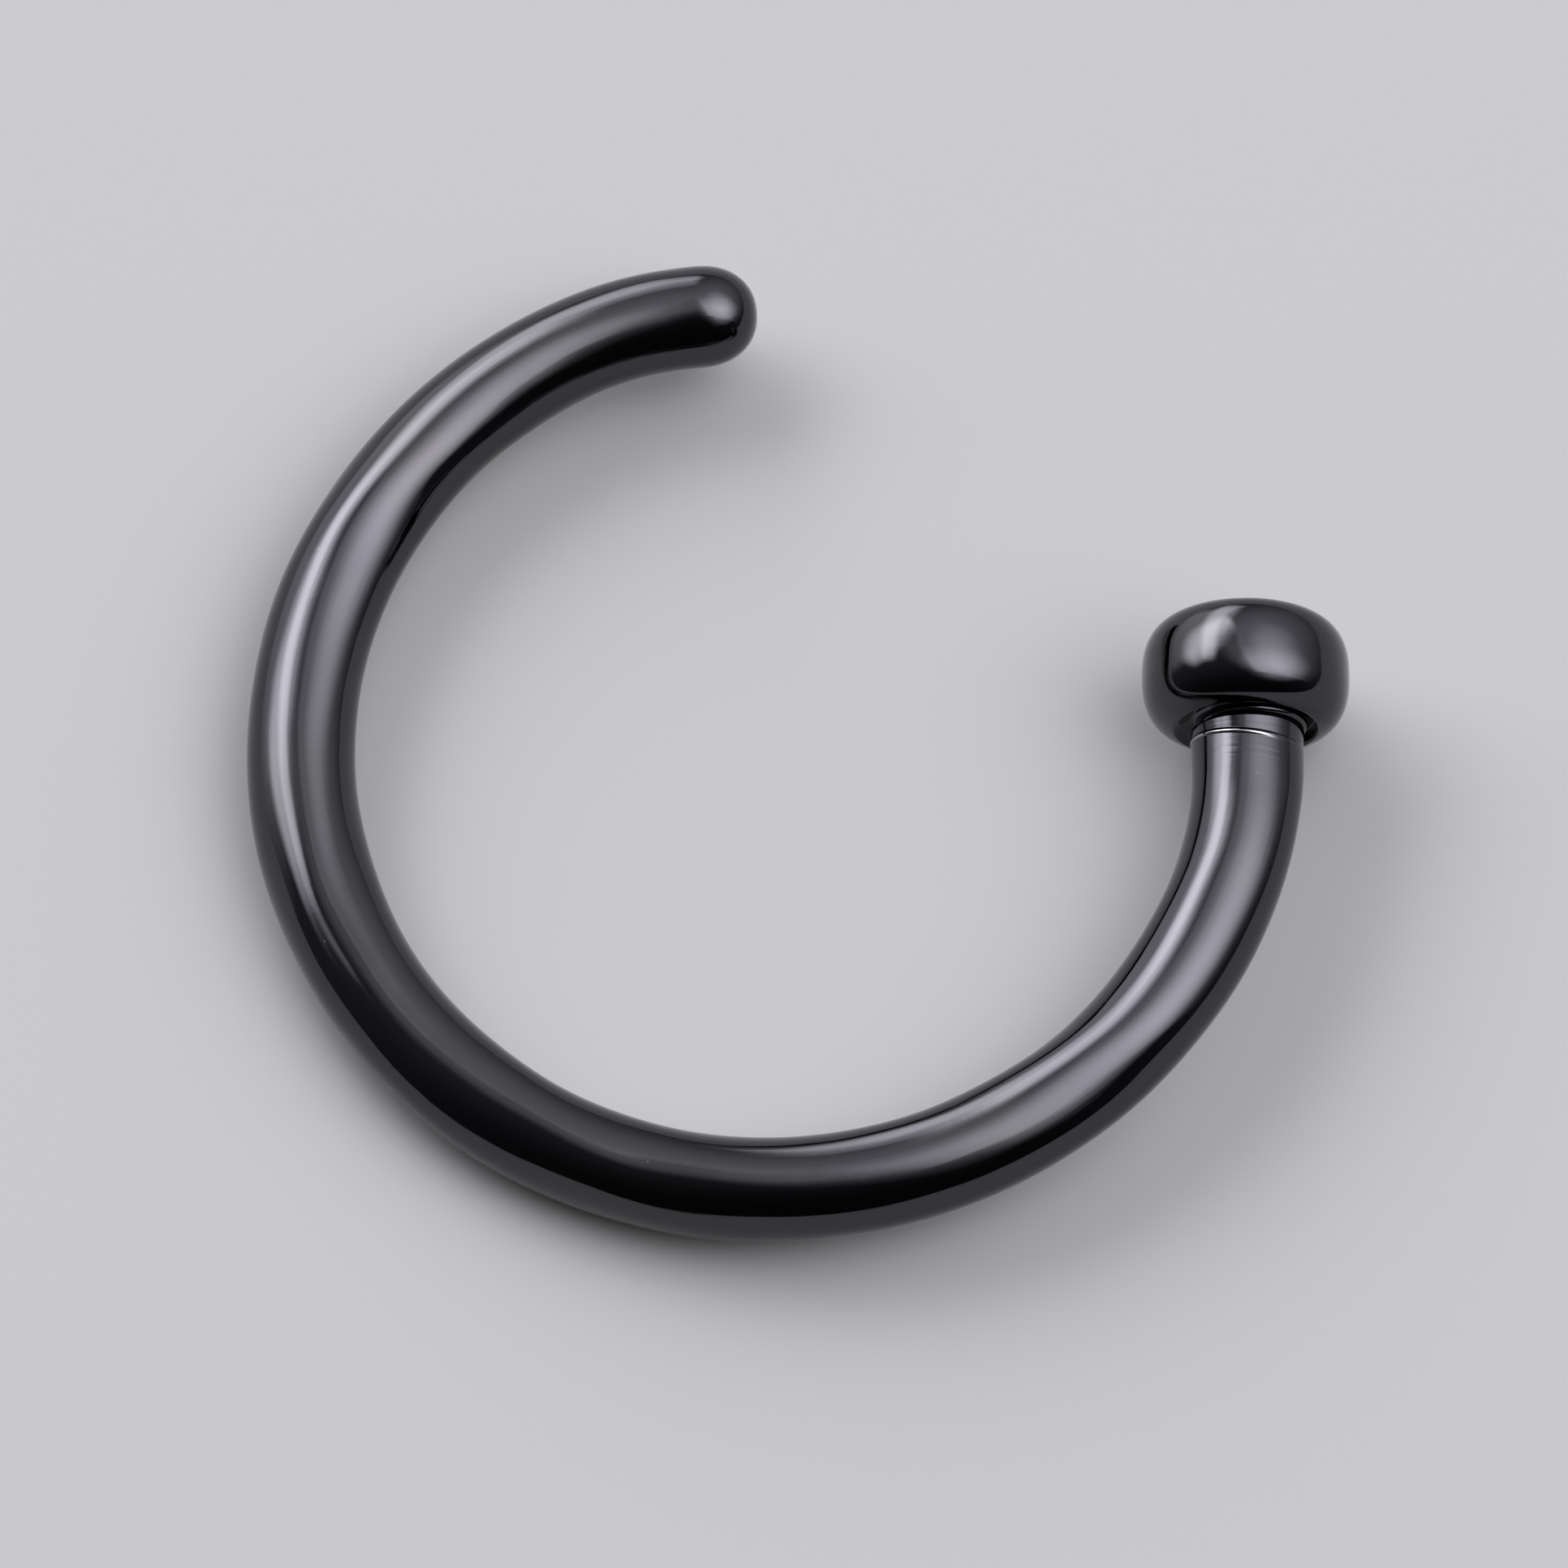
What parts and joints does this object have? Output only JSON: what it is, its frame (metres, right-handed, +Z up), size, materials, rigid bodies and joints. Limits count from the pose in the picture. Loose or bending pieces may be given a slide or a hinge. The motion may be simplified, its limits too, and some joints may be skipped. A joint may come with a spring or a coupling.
{
  "type": "nose hoop",
  "caption": "Open round hoop of polished black wire with a domed end that passes through a piercing and a flattened bead that stops the other end.",
  "frame": {"origin": "on the surface that the hoop lies on, under the middle of its box", "axes": "+X from the middle of the ring to the bead, +Y along the wire at the bead and towards the side of the opening, +Z up from the surface"},
  "size_m": [0.0104, 0.0098, 0.002],
  "materials": {
    "black_steel": "mirror-polished stainless steel with a thin black coating"
  },
  "bodies": {
    "root": {"hoop_wire": "black_steel", "stopper_bead": "black_steel"}
  },
  "joints": []
}
